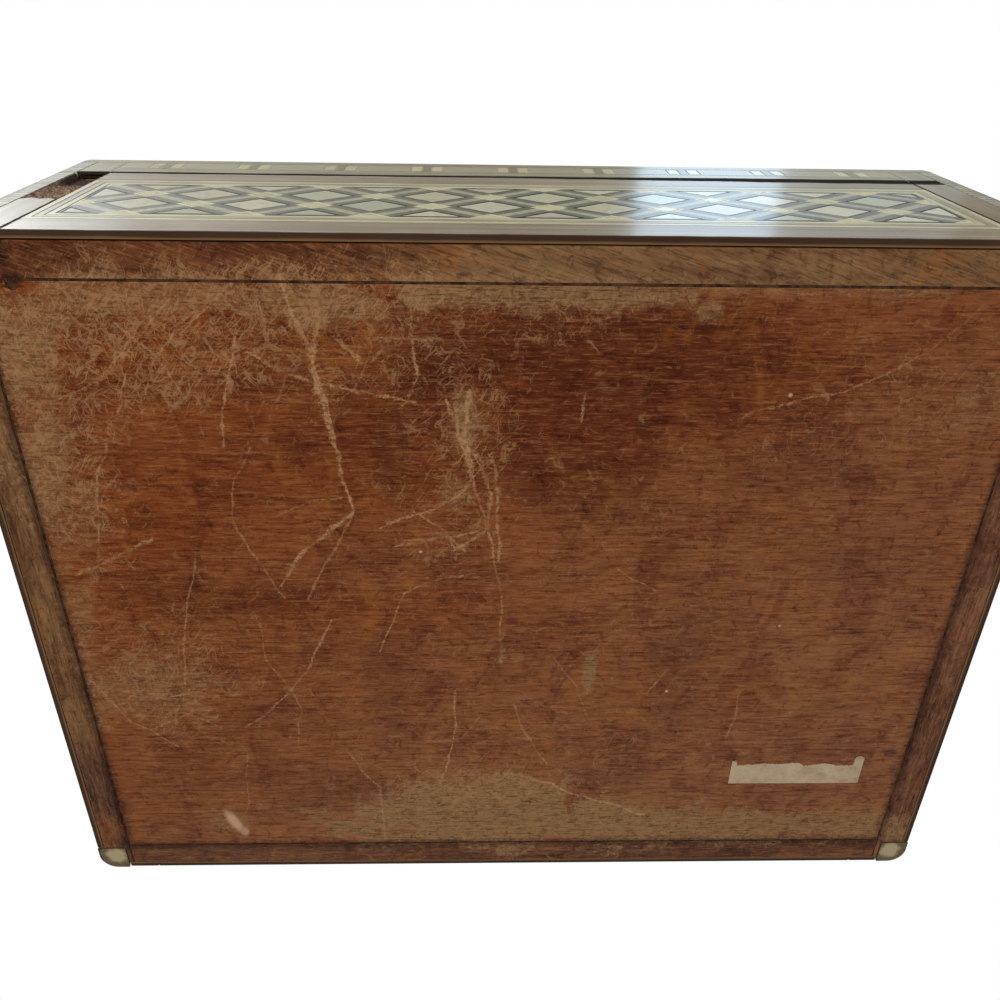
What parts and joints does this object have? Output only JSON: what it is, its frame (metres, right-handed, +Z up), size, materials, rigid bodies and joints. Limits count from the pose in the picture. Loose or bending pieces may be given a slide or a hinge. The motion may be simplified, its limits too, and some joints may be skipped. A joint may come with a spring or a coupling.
{
  "type": "trinket box",
  "caption": "Rectangular wooden keepsake box with marquetry sides in bone, pearl and dark wood, corner posts, a velvet lining and a lid hinged at the rear.",
  "frame": {"origin": "centre of the underside of the base, where the box rests", "axes": "+X along the width, to the right seen from the front; the front faces -Y, the hinges are at +Y; +Z up, towards the lid"},
  "size_m": [0.2, 0.1586, 0.072],
  "materials": {
    "brown_wood": "stained, worn satin",
    "raw_wood": "sawn, unfinished",
    "veneer": "varnished",
    "band_wood": "varnished dark strips",
    "bone": "aged bone, varnished",
    "pearl": "mother-of-pearl, varnished",
    "velvet": "short pile velvet",
    "brass": "dull aged brass"
  },
  "bodies": {
    "body": {"base_panel": "brown_wood", "front_board": "raw_wood", "rear_board": "raw_wood", "left_board": "raw_wood", "right_board": "raw_wood", "front_left_post": "bone", "front_right_post": "bone", "rear_left_post": "bone", "rear_right_post": "bone", "front_border_veneer": "veneer", "rear_border_veneer": "veneer", "left_border_veneer": "veneer", "right_border_veneer": "veneer", "rear_field_veneer": "veneer", "front_stringing": "bone", "front_lattice_bands": "band_wood", "front_lattice_tiles": "pearl", "left_stringing": "bone", "left_lattice_bands": "band_wood", "left_lattice_tiles": "pearl", "right_stringing": "bone", "right_lattice_bands": "band_wood", "right_lattice_tiles": "pearl", "body_lining": "velvet", "hinge_left_body_leaf": "brass", "hinge_left_pin": "brass", "hinge_left_body_screw_left": "brass", "hinge_left_body_screw_right": "brass", "hinge_right_body_leaf": "brass", "hinge_right_pin": "brass", "hinge_right_body_screw_left": "brass", "hinge_right_body_screw_right": "brass"},
    "lid": {"lid_panel": "brown_wood", "lid_front_rail": "raw_wood", "lid_rear_rail": "raw_wood", "lid_left_rail": "raw_wood", "lid_right_rail": "raw_wood", "lid_front_left_post": "bone", "lid_front_right_post": "bone", "lid_rear_left_post": "bone", "lid_rear_right_post": "bone", "front_rim_veneer": "veneer", "rear_rim_veneer": "veneer", "left_rim_veneer": "veneer", "right_rim_veneer": "veneer", "top_centre_veneer": "veneer", "front_rim_blocks": "bone", "left_rim_blocks": "bone", "right_rim_blocks": "bone", "top_stringing": "bone", "top_diamond_band": "band_wood", "top_band_tiles": "pearl", "top_star": "pearl", "lid_lining": "velvet", "hinge_left_lid_leaf": "brass", "hinge_left_lid_screw_left": "brass", "hinge_left_lid_screw_right": "brass", "hinge_right_lid_leaf": "brass", "hinge_right_lid_screw_left": "brass", "hinge_right_lid_screw_right": "brass"}
  },
  "joints": [
    {"name": "lid_hinge", "type": "hinge", "parent": "body", "child": "lid", "pos_m": [0, 0.0795, 0.0525], "axis": [-1, 0, 0], "range_deg": [0, 175]}
  ]
}
